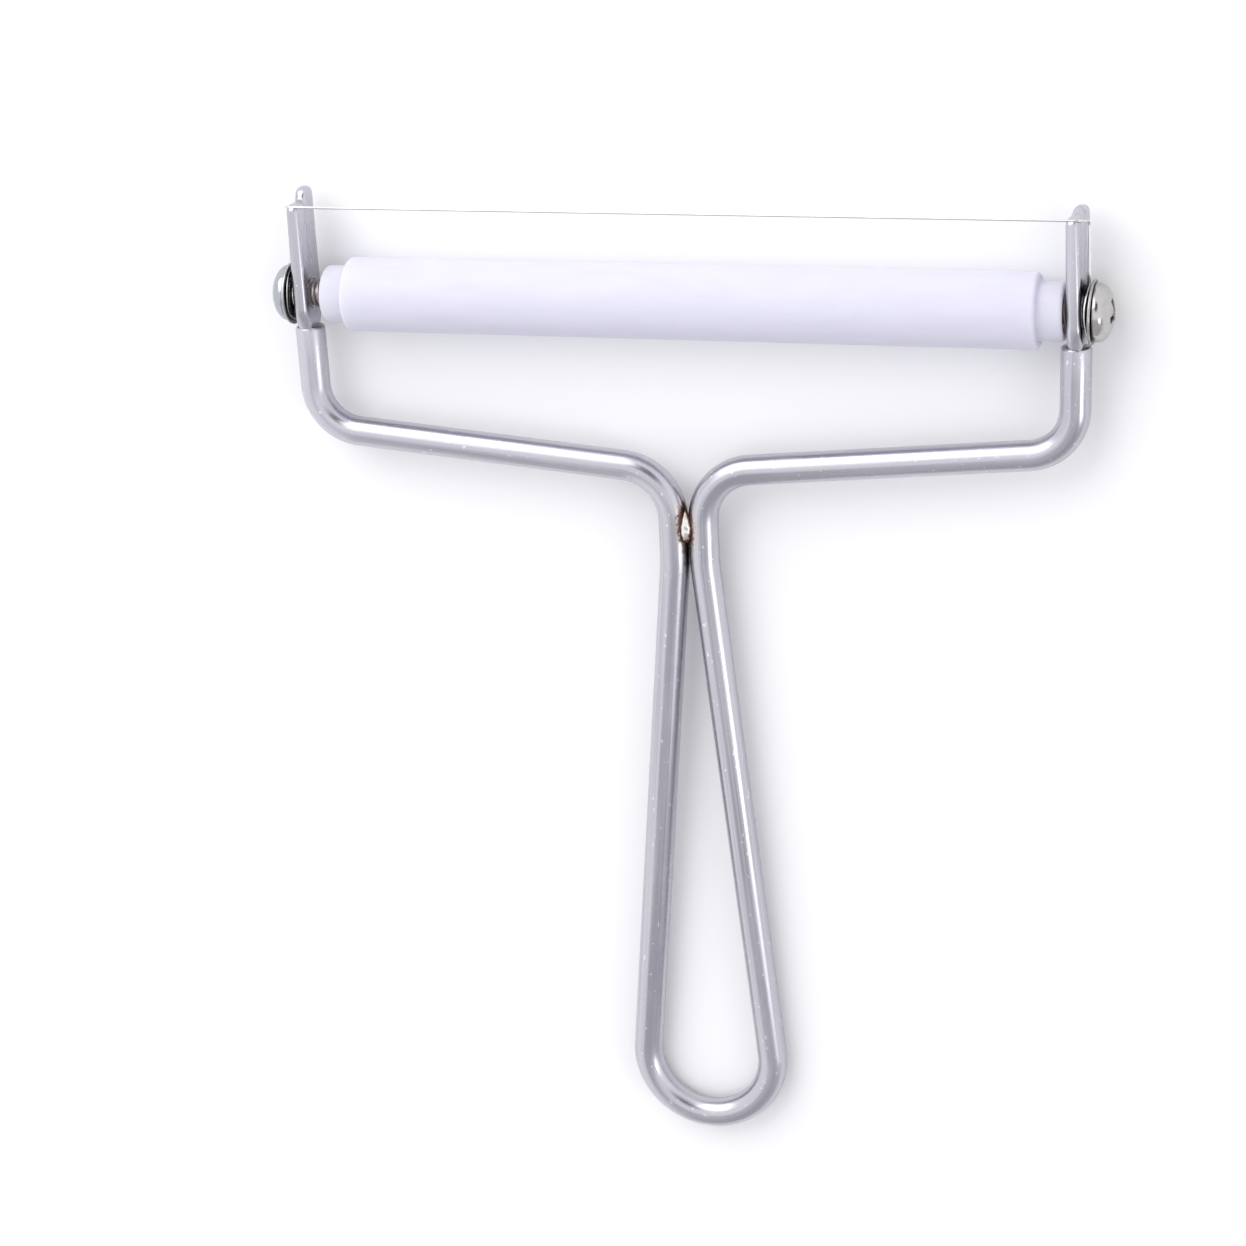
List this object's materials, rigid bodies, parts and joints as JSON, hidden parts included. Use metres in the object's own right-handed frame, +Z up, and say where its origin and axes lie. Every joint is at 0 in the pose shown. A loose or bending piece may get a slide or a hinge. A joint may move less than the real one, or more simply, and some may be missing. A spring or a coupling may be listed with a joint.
{
  "type": "cheese wire cutter",
  "caption": "Hand-held cheese slicer bent from round steel rod: loop handle, taut cutting wire between pressed tips and a white gauge roller on end screws.",
  "frame": {"origin": "middle of the bounding box at the worktop, with the tool lying on its back on its roller and the end of its handle", "axes": "+X along the roller, +Y from the handle to the wire, +Z up from the worktop"},
  "size_m": [0.1405, 0.1648, 0.0122],
  "materials": {
    "drawn_rod": "drawn and polished stainless rod with fine lengthwise draw lines",
    "weld_bead": "small tack weld with a brown heat tint",
    "white_nylon": "satin turned white nylon",
    "cutting_wire": "bright hard-drawn wire",
    "screw_steel": "nickel-bright machine screw",
    "washer_steel": "plain steel washer, slightly dull"
  },
  "bodies": {
    "frame": {"rod_frame": "drawn_rod", "neck_weld": "weld_bead", "cutting_wire": "cutting_wire", "left_screw": "screw_steel", "right_screw": "screw_steel", "left_flat_washer": "washer_steel", "right_flat_washer": "washer_steel", "left_wave_washer": "washer_steel", "right_wave_washer": "washer_steel"},
    "gauge_roller": {"roller": "white_nylon"}
  },
  "joints": [
    {"name": "roller_spin", "type": "hinge", "parent": "frame", "child": "gauge_roller", "pos_m": [0, 0.06475, 0.0061], "axis": [1, 0, 0], "continuous": true}
  ]
}
